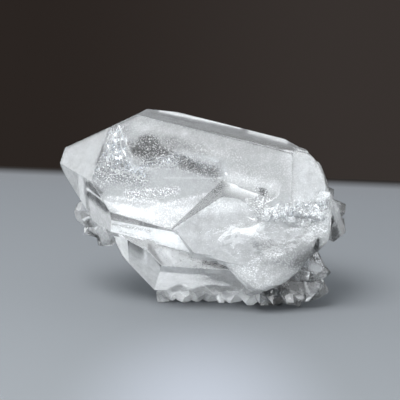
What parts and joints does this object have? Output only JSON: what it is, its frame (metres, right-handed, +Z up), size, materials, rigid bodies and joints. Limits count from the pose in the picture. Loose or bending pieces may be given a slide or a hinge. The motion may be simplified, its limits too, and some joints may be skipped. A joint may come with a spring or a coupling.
{
  "type": "faden quartz",
  "caption": "Cluster of clear, flattened quartz crystals with a pointed tip and a milky, broken far end, lying on its underside.",
  "frame": {"origin": "middle of the bounding box in X and Y, on the surface it rests on", "axes": "+Z up, +X from the main crystal's tip to the milky broken end, the picture taken from -Y"},
  "size_m": [0.0726, 0.036, 0.0483],
  "materials": {
    "clear_quartz": "clear crystal faces, milky and rough at the broken end"
  },
  "bodies": {
    "root": {"quartz_cluster": "clear_quartz"}
  },
  "joints": []
}
